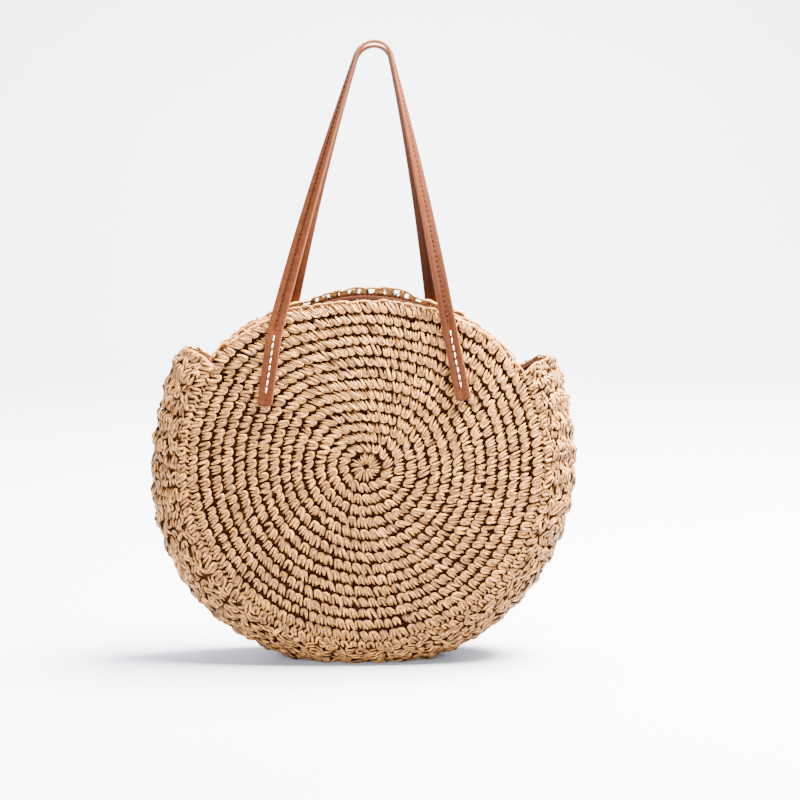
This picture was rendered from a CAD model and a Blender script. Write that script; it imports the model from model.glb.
import math

import bpy
import numpy as np
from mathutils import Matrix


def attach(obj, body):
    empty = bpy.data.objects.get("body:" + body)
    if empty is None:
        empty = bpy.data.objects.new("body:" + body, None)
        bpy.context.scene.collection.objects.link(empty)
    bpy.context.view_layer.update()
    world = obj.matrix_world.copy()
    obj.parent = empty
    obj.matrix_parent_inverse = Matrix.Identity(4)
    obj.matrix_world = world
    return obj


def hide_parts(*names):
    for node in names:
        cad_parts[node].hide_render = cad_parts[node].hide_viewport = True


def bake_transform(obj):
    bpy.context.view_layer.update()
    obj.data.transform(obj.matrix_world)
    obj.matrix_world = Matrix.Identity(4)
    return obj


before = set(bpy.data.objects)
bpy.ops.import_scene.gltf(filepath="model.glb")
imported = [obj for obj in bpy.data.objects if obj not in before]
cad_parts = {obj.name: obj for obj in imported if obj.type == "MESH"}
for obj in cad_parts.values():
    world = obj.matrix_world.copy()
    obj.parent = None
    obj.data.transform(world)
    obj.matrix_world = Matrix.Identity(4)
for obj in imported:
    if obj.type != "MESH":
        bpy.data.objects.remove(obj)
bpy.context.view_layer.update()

# Camera, floor and light
# The bag stands on a pale floor, seen from a little above rim height and almost square on.
# A soft lamp high on the right is the key, a weaker one on the left fills, and a third lights the wall.

CAMERA_DIP = 8.01
CAMERA_TURN = -1.815
camera_data = bpy.data.cameras.new("camera")
camera_data.lens = 86.16
camera_data.sensor_width = 36.0
camera = bpy.data.objects.new("camera", camera_data)
camera.location = (-0.02522, -1.89905, 0.52940)
camera.rotation_euler = (math.radians(90 - CAMERA_DIP), 0, math.radians(CAMERA_TURN))
bpy.context.scene.collection.objects.link(camera)
bpy.context.scene.camera = camera


def put_mesh(name, points, quads, uv=None, **values):
    """Makes a smooth mesh from points in millimetres and four-cornered faces.

    The faces may have a UV per corner, and the points named values, each its own or all alike."""
    mesh = bpy.data.meshes.new(name)
    points = np.ascontiguousarray(points, dtype=np.float32).reshape(-1, 3) * 0.001
    quads = np.ascontiguousarray(quads, dtype=np.int32).reshape(-1, 4)
    mesh.vertices.add(len(points))
    mesh.vertices.foreach_set("co", points.ravel())
    mesh.loops.add(quads.size)
    mesh.loops.foreach_set("vertex_index", quads.ravel())
    mesh.polygons.add(len(quads))
    mesh.polygons.foreach_set("loop_start", np.arange(len(quads), dtype=np.int32) * 4)
    mesh.polygons.foreach_set("use_smooth", np.ones(len(quads), dtype=bool))
    mesh.update(calc_edges=True)
    if uv is not None:
        layer = mesh.uv_layers.new(name="UVMap")
        layer.data.foreach_set("uv", np.ascontiguousarray(uv, dtype=np.float32).ravel())
    for key, value in values.items():
        attribute = mesh.attributes.new(key, "FLOAT", "POINT")
        attribute.data.foreach_set("value", np.resize(value, len(points)).astype(np.float32))
    mesh.validate()
    piece = bpy.data.objects.new(name, mesh)
    bpy.context.scene.collection.objects.link(piece)
    return piece


def grid_quads(rows, columns, rows_meet=False, columns_meet=False):
    """Faces between the points of a grid of rows by columns, whose last row or column may meet its first."""
    i = np.arange(rows if rows_meet else rows - 1)[:, None]
    j = np.arange(columns if columns_meet else columns - 1)[None, :]
    after, beside = (i + 1) % rows, (j + 1) % columns
    corners = (i * columns + j, i * columns + beside, after * columns + beside, after * columns + j)
    return np.stack(np.broadcast_arrays(*corners), -1).reshape(-1, 4)


def fill_node(tree, node, **settings):
    """Gives a node its settings. Inputs have underscores for spaces, and take a value or an output."""
    for key, value in settings.items():
        socket = key.replace("_", " ")
        if socket not in node.inputs:
            setattr(node, key, value)
        elif isinstance(value, bpy.types.NodeSocket):
            tree.links.new(value, node.inputs[socket])
        else:
            node.inputs[socket].default_value = value
    return node


def add_node(tree, kind, **settings):
    """A new node with its settings."""
    return fill_node(tree, tree.nodes.new(kind), **settings)


def new_material(name, roughness, specular):
    """A material with a Principled shader, and the node tree and shader to wire up."""
    material = bpy.data.materials.new(name)
    material.use_nodes = True
    tree = material.node_tree
    shader = tree.nodes["Principled BSDF"]
    fill_node(tree, shader, Roughness=roughness, Specular_IOR_Level=specular)
    return material, tree, shader


def tinted(tree, value, *stops):
    """The colour for a value on a ramp through stops of a place and a colour."""
    ramp = add_node(tree, "ShaderNodeValToRGB", Fac=value)
    elements = ramp.color_ramp.elements
    elements[0].position, elements[0].color = stops[0][0], stops[0][1] + (1,)
    elements[1].position, elements[1].color = stops[-1][0], stops[-1][1] + (1,)
    for place, colour in stops[1:-1]:
        elements.new(place).color = colour + (1,)
    return ramp.outputs["Color"]


floor_material, floor_tree, floor_shader = new_material("pale_floor", 0.6, 0.3)
floor_place = add_node(floor_tree, "ShaderNodeTexCoord").outputs["Object"]
floor_noise = add_node(floor_tree, "ShaderNodeTexNoise", Vector=floor_place, Scale=2.5, Detail=3.0)
floor_stops = ((0.0, (0.250, 0.271, 0.330)), (1.0, (0.265, 0.286, 0.348)))
floor_tint = tinted(floor_tree, floor_noise.outputs["Fac"], *floor_stops)
floor_glow = (0.97, 0.97, 1.0, 1)
fill_node(floor_tree, floor_shader, Base_Color=floor_tint, Emission_Color=floor_glow, Emission_Strength=0.1)

# The floor runs back and curves up into a plain wall, so that no edge shows behind the bag.
SWEEP_START = 2200
SWEEP_RADIUS = 900
SWEEP_REACH = 6000
SWEEP_HALF_WIDTH = 7000
sweep_turn = np.linspace(0, math.pi / 2, 13)
sweep_back = SWEEP_START + SWEEP_RADIUS * np.sin(sweep_turn)
sweep_profile = np.concatenate([
    [[-SWEEP_REACH, 0]],
    np.stack([sweep_back, SWEEP_RADIUS - SWEEP_RADIUS * np.cos(sweep_turn)], -1),
    [[SWEEP_START + SWEEP_RADIUS, SWEEP_REACH]],
])
sweep_sides = np.array([-SWEEP_HALF_WIDTH, SWEEP_HALF_WIDTH])
sweep_points = np.stack(np.broadcast_arrays(sweep_sides, sweep_profile[:, :1], sweep_profile[:, 1:]), -1)
backdrop = put_mesh("studio_sweep", sweep_points, grid_quads(len(sweep_profile), 2))
backdrop.data.materials.append(floor_material)

world = bpy.data.worlds.new("bright_room")
world.use_nodes = True
fill_node(world.node_tree, world.node_tree.nodes["Background"], Color=(0.97, 0.98, 1.0, 1), Strength=1.5)
bpy.context.scene.world = world


def soft_lamp(name, place, aim, size, power, colour):
    """A square area lamp at a place, turned to face the point that it is aimed at."""
    lamp = bpy.data.lights.new(name, "AREA")
    lamp.size = size
    lamp.energy = power
    lamp.color = colour
    lamp_object = bpy.data.objects.new(name, lamp)
    lamp_object.location = place
    across = np.array(aim) - np.array(place)
    lamp_object.rotation_euler = (
        math.acos(-across[2] / np.linalg.norm(across)),
        0,
        math.atan2(across[1], across[0]) - math.pi / 2,
    )
    bpy.context.scene.collection.objects.link(lamp_object)


soft_lamp("key_lamp", (0.92, 0.12, 2.50), (0, 0, 0.25), 1.3, 3000, (1.0, 0.92, 0.75))
soft_lamp("fill_lamp", (-1.0, -2.3, 1.6), (0, 0, 0.25), 1.0, 100, (1.0, 0.98, 0.95))
soft_lamp("wall_lamp", (0.0, 0.9, 3.2), (0, 3.1, 1.4), 2.5, 1000, (1.0, 1.0, 1.0))

# Round straw panels
# Two discs of thick paper straw, crocheted in rounds from a small centre ring, domed and leaned together.
# Each stitch is a strand folded over the round before it, with two legs, or three, slanting out to the next.

PANEL_RADIUS = 176.5
PANEL_DOME = 14.0
MOUTH_TOPS = {1: 160.0, -1: 165.3}
CENTRE_HEIGHT = 200.0
HALF_DEPTH = 48.0
LEAN = math.radians(3.1)
GUSSET_END = math.radians(33.5)
SPHERE_RADIUS = (PANEL_RADIUS**2 + PANEL_DOME**2) / (2 * PANEL_DOME)
SPHERE_DEPTH = HALF_DEPTH + PANEL_DOME - SPHERE_RADIUS


def leaned(x, from_middle, z, facing):
    """Tips upright points back about the floor line: facing is 1 for the front half and -1 for the rear."""
    y = -from_middle * math.cos(LEAN) + z * math.sin(LEAN)
    up = from_middle * math.sin(LEAN) + z * math.cos(LEAN)
    return np.stack(np.broadcast_arrays(x, y * facing, up), -1)


def bell(x, at, spread, power=2):
    """A bell curve: one at its middle, then falling with a power of the distance over the spread."""
    return np.exp(-(((x - at) / spread) ** power))


SHOULDER_FROM = math.radians(40)
SHOULDER_TO = math.radians(76)
LEFT_SHOULDER = 1.0
RIGHT_SHOULDER = 0.75
LEFT_BULGE = 4.0
LEFT_BULGE_AT = math.radians(37)
LEFT_BULGE_SPREAD = math.radians(8)
REAR_PEAK_AT = math.radians(93)
REAR_PEAK_SPREAD = math.radians(19)
REAR_DIP = 4.6


def rim_radius(angle, facing, drop=0.0, end=GUSSET_END):
    """Distance from the centre to the rim: the disc's radius, but over the mouth a flatter arc.

    The arc passes through both gusset ends and the mouth's top, and from each end the rim leaves the circle
    slowly, for full shoulders. The left one also bulges, by a bell over the angle, and the rear rim dips to
    either side of its peak."""
    end_x, end_z = PANEL_RADIUS * math.cos(end), PANEL_RADIUS * math.sin(end)
    rise = MOUTH_TOPS[facing] - drop - end_z
    arc = (end_x**2 + rise**2) / (2 * rise)
    low = end_z + rise - arc
    on_arc = low * np.sin(angle) + np.sqrt(arc**2 - (low * np.cos(angle)) ** 2)
    turn = np.mod(angle, 2 * math.pi)
    at_mouth = (turn > end) & (turn < math.pi - end)
    height = np.minimum(turn, math.pi - turn)
    share = np.clip((height - SHOULDER_FROM) / (SHOULDER_TO - SHOULDER_FROM), 0, 1)
    left = turn * facing > facing * math.pi / 2
    full = np.where(left, LEFT_SHOULDER, RIGHT_SHOULDER) * (1 - share**2 * (3 - 2 * share))
    bulge = np.where(left, LEFT_BULGE, 0) * bell(height, LEFT_BULGE_AT, LEFT_BULGE_SPREAD)
    dip = (REAR_DIP if facing < 0 else 0) * (1 - bell(turn, REAR_PEAK_AT, REAR_PEAK_SPREAD, 4)) * share
    return np.where(at_mouth, on_arc + (PANEL_RADIUS - on_arc) * full + bulge - dip, PANEL_RADIUS)


def dome_point(x, rise, depth, facing):
    """A point of the dome at x and a rise from its centre, depth inside the outer face.

    The rear dome is the front one turned round."""
    from_middle = SPHERE_DEPTH + np.sqrt((SPHERE_RADIUS - depth) ** 2 - x**2 - rise**2)
    return leaned(x * facing, from_middle, CENTRE_HEIGHT + rise, facing)


def panel_point(radius, angle, depth, facing):
    """A point of the disc by radius and angle: towards the mouth the rounds are drawn in to fit the rim."""
    reach = radius * rim_radius(angle, facing) / PANEL_RADIUS
    return dome_point(reach * np.cos(angle), reach * np.sin(angle), depth, facing)


STRAND_SIDES = 6


def flat_points(along, across):
    """Points of a flat surface by their places along it and across it."""
    return np.stack(np.broadcast_arrays(along, across), -1)


def strand_tube(path, lift, half_width, half_height, groove, tilt):
    """Flat strands along paths on a flat surface: (along, across, height) of strands by rings by sides.

    Each ring is an ellipse square to its path, lifted, grooved along its top and turned by the tilt."""
    ahead = np.gradient(path, axis=1)
    ahead /= np.linalg.norm(ahead, axis=2, keepdims=True)
    sideways = flat_points(-ahead[..., 1], ahead[..., 0])
    turn = (np.arange(STRAND_SIDES) + 0.5) * (2 * math.pi / STRAND_SIDES)
    press = 1 - groove[:, None, None] * np.clip(np.sin(turn), 0, 1) ** 8
    out = half_width[..., None] * np.cos(turn)
    up = half_height[..., None] * np.sin(turn) * press
    cos, sin = np.cos(tilt)[:, None, None], np.sin(tilt)[:, None, None]
    height = lift[..., None] + out * sin + up * cos
    flat = path[:, :, None, :] + sideways[:, :, None, :] * (out * cos - up * sin)[..., None]
    return np.concatenate([flat, height[..., None]], -1)


def tube_faces(rings, sides):
    """Faces of a tube of rings of points, with both its ends closed by strips from side to side."""
    strip = np.arange(sides // 2 - 1)
    cap = np.stack([strip, strip + 1, sides - 2 - strip, sides - 1 - strip], -1)
    tube = grid_quads(rings, sides, columns_meet=True)
    return np.concatenate([tube, cap[:, ::-1], cap + (rings - 1) * sides])


def corner_uv(rows, columns):
    """A UV for each corner of a grid's faces: across its columns and along its rows, both from 0 to 1."""
    i, j = np.meshgrid(np.arange(rows), np.arange(columns), indexing="ij")
    u = (j[..., None] + np.array([0, 1, 1, 0])) / columns
    v = (i[..., None] + np.array([0, 0, 1, 1])) / rows
    return np.stack([u, v], -1).reshape(-1, 4, 2)


def strand_faces(count, rings):
    """Faces of many closed strands, their ends included, and a UV per corner: round, then along, 0 to 1."""
    end_uv = np.zeros((STRAND_SIDES // 2 - 1, 4, 2))
    one_uv = np.concatenate([corner_uv(rings - 1, STRAND_SIDES), end_uv, end_uv + [0, 1]])
    quads = tube_faces(rings, STRAND_SIDES) + (np.arange(count) * (STRAND_SIDES * rings))[:, None, None]
    return quads.reshape(-1, 4), np.broadcast_to(one_uv, (count,) + one_uv.shape)


LOW_FROM = 0.4
LOW_TO = -2.6
UV_STRAY = 40
EDGE_SHADE = np.array([0.52, 0.0, 0.52, 0.95, 1.0, 0.95])
FREE_SHADE = 0 * EDGE_SHADE


def put_strands(name, groups, chance, shade=EDGE_SHADE, turned=False):
    """One mesh of groups of strands, given as places and heights. Strands differ in tone, points in lowness.

    Lowness is the depth below the stitches' tops, and at least the shade of the place round the strand.
    Strands that were carried on to their surface as a mirror image have their faces turned."""
    places, quads, uvs, tones, lows = [], [], [], [], []
    start = 0
    for place, height in groups:
        count, rings, sides = place.shape[:3]
        faces, uv = strand_faces(count, rings)
        if turned:
            faces, uv = faces[..., ::-1], uv[..., ::-1, :]
        shift = chance.uniform(0, UV_STRAY, (count, 1, 1, 1)) * np.array([0.0, 1.0])
        places.append(place.reshape(-1, 3))
        quads.append(faces + start)
        uvs.append((uv + shift).reshape(-1, 2))
        tones.append(np.repeat(chance.uniform(0, 1, count), rings * sides))
        lows.append(np.clip(np.maximum((LOW_FROM - height) / (LOW_FROM - LOW_TO), shade), 0, 1).ravel())
        start += count * rings * sides
    points, quads, uv, tone, low = [np.concatenate(part) for part in (places, quads, uvs, tones, lows)]
    return put_mesh(name, points, quads, uv, tone=tone, low=low)


FOLD_OUT = np.array([1.0, 0.72, 0.42, 0.20, 0.12, 0.20, 0.42, 0.72, 1.0])
FOLD_SIDE = np.array([-1.14, -1.04, -0.99, -0.80, 0.0, 0.80, 0.99, 1.04, 1.14])
FOLD_SWELL = np.array([0.40, 0.84, 1.0, 1.05, 1.0, 1.05, 1.0, 0.84, 0.40])
FOLD_LIFT = np.array([0.0, 0.9, 1.3, 1.2, 0.7, 1.2, 1.3, 0.9, 0.0])
FOLD_TILT = 0.26
TIP_STRAY = 0.11
LEG_SPREADS = (0.85, 1.15)
LEG_WIDTHS = (0.9, 1.1)
STITCH_LIFT_STRAY = 0.4
LEG_LIFT_STRAY = 0.45
DEEPEST_GROOVE = 0.45
SWELL_POWER = 0.6


def folded_stitches(height, width, leg, half, slant, thick, chance):
    """Stitches folded from one strand each: in along one leg from its tip, round the root, and out again.

    The legs stand leg times the width off the middle, half a strand is half times it wide, and the slant
    shears it."""
    each = (len(height), 1)
    end = np.ones((len(height), len(FOLD_OUT)))
    end[:, :2] += chance.normal(0, TIP_STRAY, each)
    end[:, -2:] += chance.normal(0, TIP_STRAY, each)
    out = height[:, None] * FOLD_OUT * end
    across = FOLD_SIDE * (width * leg)[:, None] * chance.uniform(*LEG_SPREADS, each)
    across = across + slant[:, None] * (out - height[:, None] / 2)
    lift = FOLD_LIFT + chance.normal(0, STITCH_LIFT_STRAY, each)
    lift[:, :4] += chance.normal(0, LEG_LIFT_STRAY, each)
    lift[:, 5:] += chance.normal(0, LEG_LIFT_STRAY, each)
    half_width = (width * half)[:, None] * FOLD_SWELL * chance.uniform(*LEG_WIDTHS, each)
    groove = chance.uniform(0.0, DEEPEST_GROOVE, len(height))
    tilt = chance.normal(0, FOLD_TILT, len(height))
    half_height = thick * FOLD_SWELL**SWELL_POWER
    return strand_tube(flat_points(out, across), lift, half_width, half_height, groove, tilt)


LEAF_SWELL = np.array([0.35, 0.85, 1.0, 0.95, 0.70, 0.22])
LEAF_TILT = 0.18


def leaf_strands(root, tip, bow, lifts, half_width, half_height, chance):
    """Short pointed strands from root to tip, bowed sideways, lifted by a parabola through three lifts."""
    s = np.linspace(0, 1, len(LEAF_SWELL))
    span = tip - root
    ahead = span / np.linalg.norm(span, axis=1, keepdims=True)
    sideways = flat_points(-ahead[:, 1], ahead[:, 0])
    hump = 4 * s * (1 - s)
    path = root[:, None] + span[:, None] * s[:, None] + sideways[:, None] * (bow[:, None] * hump)[..., None]
    low, high, last, wide, thick = [np.reshape(part, (-1, 1)) for part in (*lifts, half_width, half_height)]
    lift = low + (last - low) * s + (high - (low + last) / 2) * hump
    groove = chance.uniform(0.0, DEEPEST_GROOVE, len(root))
    tilt = chance.normal(0, LEAF_TILT, len(root))
    return strand_tube(path, lift, wide * LEAF_SWELL, thick * LEAF_SWELL**SWELL_POWER, groove, tilt)


def strayed(values, spread, count, chance):
    """Some values, each with a normal stray of its own for every strand."""
    return [value + chance.normal(0, spread, count) for value in values]


ROUND_COUNT = 14
CENTRE_ROUND = 15.5
CENTRE_HOLE = 1.2
CENTRE_STITCHES = 9
STITCH_WIDTH = 9.4
STITCH_STRAY = 0.05
ROUND_HEIGHT = (PANEL_RADIUS - CENTRE_ROUND) / ROUND_COUNT


def panel_stitches(chance):
    """Every stitch of a disc: its round's inner and outer radius, its angle, and its share of the turn."""
    inner = [CENTRE_HOLE] + [CENTRE_ROUND + i * ROUND_HEIGHT for i in range(ROUND_COUNT)]
    outer = inner[1:] + [PANEL_RADIUS]
    rows = []
    for a, b in zip(inner, outer):
        count = CENTRE_STITCHES if a == CENTRE_HOLE else int(round(math.pi * (a + b) / STITCH_WIDTH))
        place = np.arange(count) + chance.uniform() + chance.normal(0, STITCH_STRAY, count)
        rows.append(np.stack(np.broadcast_arrays(a, b, place * (2 * math.pi / count), 1 / count), 1))
    return np.concatenate(rows)


def wandering(radius, angle):
    """How far a round strays from a true circle: two waves, dying away at the centre and at the rim."""
    share = radius / PANEL_RADIUS
    waves = 0.9 * np.sin(2 * angle + 0.6 + 5 * share) + 0.6 * np.sin(5 * angle - 8 * share)
    return 4 * share * (1 - share) * waves


STRAND_DEPTH = 3.5
STITCH_THICK = 1.75
LEAST_RADIUS = 1.6
ROUND_GAP = 1.2
LOOSE_GAP = 0.7
LOOSE_AT = 0.3
LOOSE_SPREAD = math.radians(55)
MOUTH_ROUND = 3.0
MOUTH_REACH = 2.2
CENTRE_SLANT = 0.15
ROUND_SLANT = 0.42
STEEP_SLANT = 0.45
STEEP_AT = math.radians(112)
STEEP_SPREAD = math.radians(33)
SLANT_STRAY = 0.17
THREE_SHARE = 0.78
THREE_LEG, THREE_HALF = 0.325, 0.176
TWO_LEG, TWO_HALF = 0.262, 0.232
THIRD_ROOT, THIRD_ROOT_SIDE, THIRD_TIP_SIDE = 0.12, -0.38, 0.5
THIRD_LIFTS = (0.8, 1.5, -0.2)
THIRD_HALF = 0.170
THIRD_THICK = 1.6
DEEP_STEPS = 96
DEEP_INSET = 0.8
DEEP_INSETS_AT_RIM = {1: 3.8, -1: 5.5}
DEEP_HALF_WIDTH = 6.2
DEEP_HALF_HEIGHT = 0.9
DEEP_DEPTH = 5.8
DEEP_TONE = 0.3
DEEP_TURN = np.arange(STRAND_SIDES) * 2 * math.pi / STRAND_SIDES


def panel_straw(name, facing, seed):
    """All the stitches of one disc, and the deep loops of each round that they are worked into."""
    chance = np.random.default_rng(seed)
    inner, outer, angle, share = panel_stitches(chance).T
    middle = (inner + outer) / 2
    width = 2 * math.pi * middle * share
    turn = np.mod(angle, 2 * math.pi)
    gap = ROUND_GAP + LOOSE_GAP * bell((turn - math.pi) * facing, LOOSE_AT, LOOSE_SPREAD)
    at_mouth = (outer > PANEL_RADIUS - MOUTH_ROUND) & (np.sin(angle) > math.sin(GUSSET_END))
    height = outer - inner - gap + np.where(at_mouth, MOUTH_REACH, 0)
    steep = ROUND_SLANT + STEEP_SLANT * bell(turn, STEEP_AT, STEEP_SPREAD)
    slant = np.where(inner < CENTRE_ROUND, CENTRE_SLANT, steep) + chance.normal(0, SLANT_STRAY, len(inner))
    three = chance.uniform(0, 1, len(inner)) < THREE_SHARE
    leg, half = np.where(three, THREE_LEG, TWO_LEG), np.where(three, THREE_HALF, TWO_HALF)

    def placed(field, chosen):
        radius = np.clip((inner + gap / 2)[chosen][:, None, None] + field[..., 0], LEAST_RADIUS, None)
        bearing = angle[chosen][:, None, None] + field[..., 1] / middle[chosen][:, None, None]
        radius = radius + wandering(radius, bearing)
        return panel_point(radius, bearing, STRAND_DEPTH - field[..., 2], facing), field[..., 2]

    folded = folded_stitches(height, width, leg, half, slant, STITCH_THICK, chance)
    w, h, lean_out, count = width[three], height[three], slant[three], int(three.sum())
    root = flat_points(THIRD_ROOT * h, THIRD_ROOT_SIDE * h * lean_out)
    tip_out = h * (1 + chance.normal(0, 0.06, count))
    tip = flat_points(tip_out, THIRD_TIP_SIDE * h * lean_out + chance.normal(0, 0.4, count))
    lifts = strayed(THIRD_LIFTS, 0.3, count, chance)
    third = leaf_strands(root, tip, chance.normal(0, 0.3, count), lifts, THIRD_HALF * w, THIRD_THICK, chance)
    straw_piece = put_strands(name, [placed(folded, np.full(len(inner), True)), placed(third, three)], chance)

    ring_angle = np.linspace(0, 2 * math.pi, DEEP_STEPS, endpoint=False)[None, :, None]
    ring_radius = CENTRE_ROUND + (np.arange(ROUND_COUNT + 1) - DEEP_INSET) * ROUND_HEIGHT
    ring_radius = np.append(ring_radius, PANEL_RADIUS - DEEP_INSETS_AT_RIM[facing])[:, None, None]
    radius = ring_radius + DEEP_HALF_WIDTH * np.cos(DEEP_TURN)
    depth = DEEP_DEPTH + DEEP_HALF_HEIGHT * np.sin(DEEP_TURN)
    points = panel_point(radius + wandering(radius, ring_angle), ring_angle, depth, facing)
    one = grid_quads(DEEP_STEPS, STRAND_SIDES, rows_meet=True, columns_meet=True)
    quads = one + (np.arange(len(ring_radius)) * DEEP_STEPS * STRAND_SIDES)[:, None, None]
    stitches = 2 * math.pi * ring_radius / STITCH_WIDTH
    uv = corner_uv(DEEP_STEPS, STRAND_SIDES) * flat_points(1.0, stitches)
    return straw_piece, put_mesh(name + "_loops", points, quads, uv.reshape(-1, 2), tone=DEEP_TONE, low=0.0)


def attribute_value(tree, name):
    """A named value of the mesh's points."""
    return add_node(tree, "ShaderNodeAttribute", attribute_name=name).outputs["Fac"]


def uv_place(tree):
    """The place on the mesh's own UV map."""
    return add_node(tree, "ShaderNodeUVMap", uv_map="UVMap").outputs["UV"]


def scaled_place(tree, scale):
    """The place on the mesh's own UV map, drawn out by a scale."""
    return add_node(tree, "ShaderNodeMapping", Vector=uv_place(tree), Scale=scale).outputs["Vector"]


def mixed(tree, factor, first, second):
    """A colour part of the way from the first to the second."""
    mix = add_node(tree, "ShaderNodeMix", data_type="RGBA", Factor=factor, A=first, B=second)
    return mix.outputs["Result"]


def product(tree, first, second):
    """One value times another."""
    times = add_node(tree, "ShaderNodeMath", operation="MULTIPLY")
    for socket, value in zip(times.inputs, (first, second)):
        tree.links.new(value, socket)
    return times.outputs["Value"]


def ranged(tree, value, start, stop):
    """A value carried from the range of start to the range of stop, and held there."""
    ends = {"From_Min": start[0], "From_Max": start[1], "To_Min": stop[0], "To_Max": stop[1]}
    return add_node(tree, "ShaderNodeMapRange", Value=value, **ends).outputs["Result"]


def bumped(tree, height, strength, distance):
    """The normal of a surface raised by a height."""
    bump = add_node(tree, "ShaderNodeBump", Height=height, Strength=strength, Distance=distance)
    return bump.outputs["Normal"]


def new_group(name, colours, values):
    """A node group from some colours to a Color and some values, and the sockets for its colours."""
    group = bpy.data.node_groups.new(name, "ShaderNodeTree")
    for key in colours:
        group.interface.new_socket(key, in_out="INPUT", socket_type="NodeSocketColor")
    group.interface.new_socket("Color", in_out="OUTPUT", socket_type="NodeSocketColor")
    for key in values:
        group.interface.new_socket(key, in_out="OUTPUT", socket_type="NodeSocketFloat")
    return group, add_node(group, "NodeGroupInput").outputs


def straw_group():
    """Paper straw: a tone per strand, darker low between strands, and creases from a stretched noise."""
    group, given = new_group("straw_creases", ("Light", "Middle", "Dark", "Low"), ("Height", "Roughness"))
    tone = attribute_value(group, "tone")
    place = scaled_place(group, (3.6, 2.0, 1.0))
    noise = add_node(group, "ShaderNodeTexNoise", Vector=place, Scale=1.7, Detail=3.0, Roughness=0.6)
    crease = noise.outputs["Fac"]
    darker = mixed(group, tone, given["Dark"], given["Middle"])
    lit = ranged(group, crease, (0.44, 0.62), (0.0, 1.0))
    fair = product(group, lit, ranged(group, tone, (0.0, 1.0), (0.45, 1.0)))
    fibre = mixed(group, fair, darker, given["Light"])
    deep = ranged(group, attribute_value(group, "low"), (0.06, 0.95), (0.0, 1.0))
    shaded = mixed(group, deep, fibre, given["Low"])
    rough = ranged(group, crease, (0.35, 0.65), (0.62, 0.42))
    add_node(group, "NodeGroupOutput", Color=shaded, Height=crease, Roughness=rough)
    return group


straw_creases = straw_group()


def grouped_material(name, group, roughness, specular, strength, distance, **colours):
    """A finish from a node group in its own colours, with the group's height as bump."""
    material, tree, shader = new_material(name, roughness, specular)
    colours = {key: colour + (1,) for key, colour in colours.items()}
    effect = add_node(tree, "ShaderNodeGroup", node_tree=group, **colours).outputs
    normal = bumped(tree, effect["Height"], strength, distance)
    fill_node(tree, shader, Base_Color=effect["Color"], Normal=normal)
    if "Roughness" in effect:
        fill_node(tree, shader, Roughness=effect["Roughness"])
    return material


def straw_material(name, specular, light, middle, dark, low):
    """A straw finish: its light, middle and dark creases, and the colour low between strands."""
    colours = {"Light": light, "Middle": middle, "Dark": dark, "Low": low}
    return grouped_material(name, straw_creases, 0.5, specular, 1.0, 0.0018, **colours)


paper_straw = straw_material(
    "paper_straw", 0.25,
    (0.90, 0.400, 0.085), (0.24, 0.102, 0.028), (0.115, 0.045, 0.013), (0.032, 0.011, 0.003),
)
straw_depths = straw_material(
    "straw_depths", 0.0,
    (0.040, 0.014, 0.005), (0.015, 0.005, 0.0018), (0.007, 0.002, 0.0008), (0.006, 0.002, 0.001),
)
for facing, node, seed in ((1, "front_panel", 11), (-1, "rear_panel", 12)):
    for piece, finish in zip(panel_straw(node + "_straw", facing, seed), (paper_straw, straw_depths)):
        piece.data.materials.append(finish)
        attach(piece, "bag")
        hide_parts(node)

# Gusset
# A straw band round the sides and base, worked in short rows from front to back, bulging past the discs.
# Its small loops lie along the band, tilted this way and that, overlapping, with loose strands over them.

GUSSET_BULGE = 38.5
ARCH_RADIUS = (GUSSET_BULGE**2 + HALF_DEPTH**2) / (2 * GUSSET_BULGE)
ARCH_CENTRE = PANEL_RADIUS + GUSSET_BULGE - ARCH_RADIUS
FLOOR_LAYER = 0.2
FLOOR_DEPTH = 1.5
FLOOR_LEAST = 0.5


def gusset_swings(angle, depth):
    """Swings round the arch's centre at which the band crosses the bag's middle plane and meets the seam."""
    reach = ARCH_RADIUS - depth
    height = np.clip(CENTRE_HEIGHT + (ARCH_CENTRE + reach) * np.sin(angle), 0, None)
    return np.arcsin(height * math.tan(LEAN) / reach), np.arccos((PANEL_RADIUS - ARCH_CENTRE) / reach)


EAR_FROM = math.radians(8)
EAR_OUTS = (8.5, -8.0)
EAR_RISES = (4.5, 5.0)
EAR_TIP = 6.0
EAR_TIP_SPREAD = 0.32
RIGHT_EAR_DROP = math.radians(3.4)
LEFT_FULL = 7.5
LEFT_FULL_AT = math.radians(213)
LEFT_FULL_SPREAD = math.radians(28)


def ear_share(angle):
    """How far up an ear an angle is: nothing below its foot, and one at the end of the band."""
    return np.clip((np.arcsin(np.sin(angle)) - EAR_FROM) / (GUSSET_END - EAR_FROM), 0, 1)


def ear_angle(angle):
    """The angle on the bag: the right ear ends lower than the left, and the band is drawn in to fit."""
    return angle - np.where(np.cos(angle) > 0, RIGHT_EAR_DROP, 0) * ear_share(angle) ** 2


def gusset_slump(angle, share):
    """How far the soft band strays from its arch, sideways and up: its ears flare, its low left is fuller.

    The flare grows as a power of the height up the ear, the fullness is a bell over the angle, and both die
    at the seams. The outer corner of each ear is rounded off by a bell over the share."""
    right = np.cos(angle) > 0
    ear = ear_share(angle)
    full = LEFT_FULL * bell(np.mod(angle, 2 * math.pi), LEFT_FULL_AT, LEFT_FULL_SPREAD)
    loose = 1 - np.abs(share) ** 3
    sideways = np.where(right, *EAR_OUTS) * ear**1.5 + full * np.cos(angle)
    up = np.where(right, *EAR_RISES) * ear**1.5 + full * np.sin(angle)
    return sideways * loose, up * loose - EAR_TIP * ear**4 * bell(share, 0, EAR_TIP_SPREAD)


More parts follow.
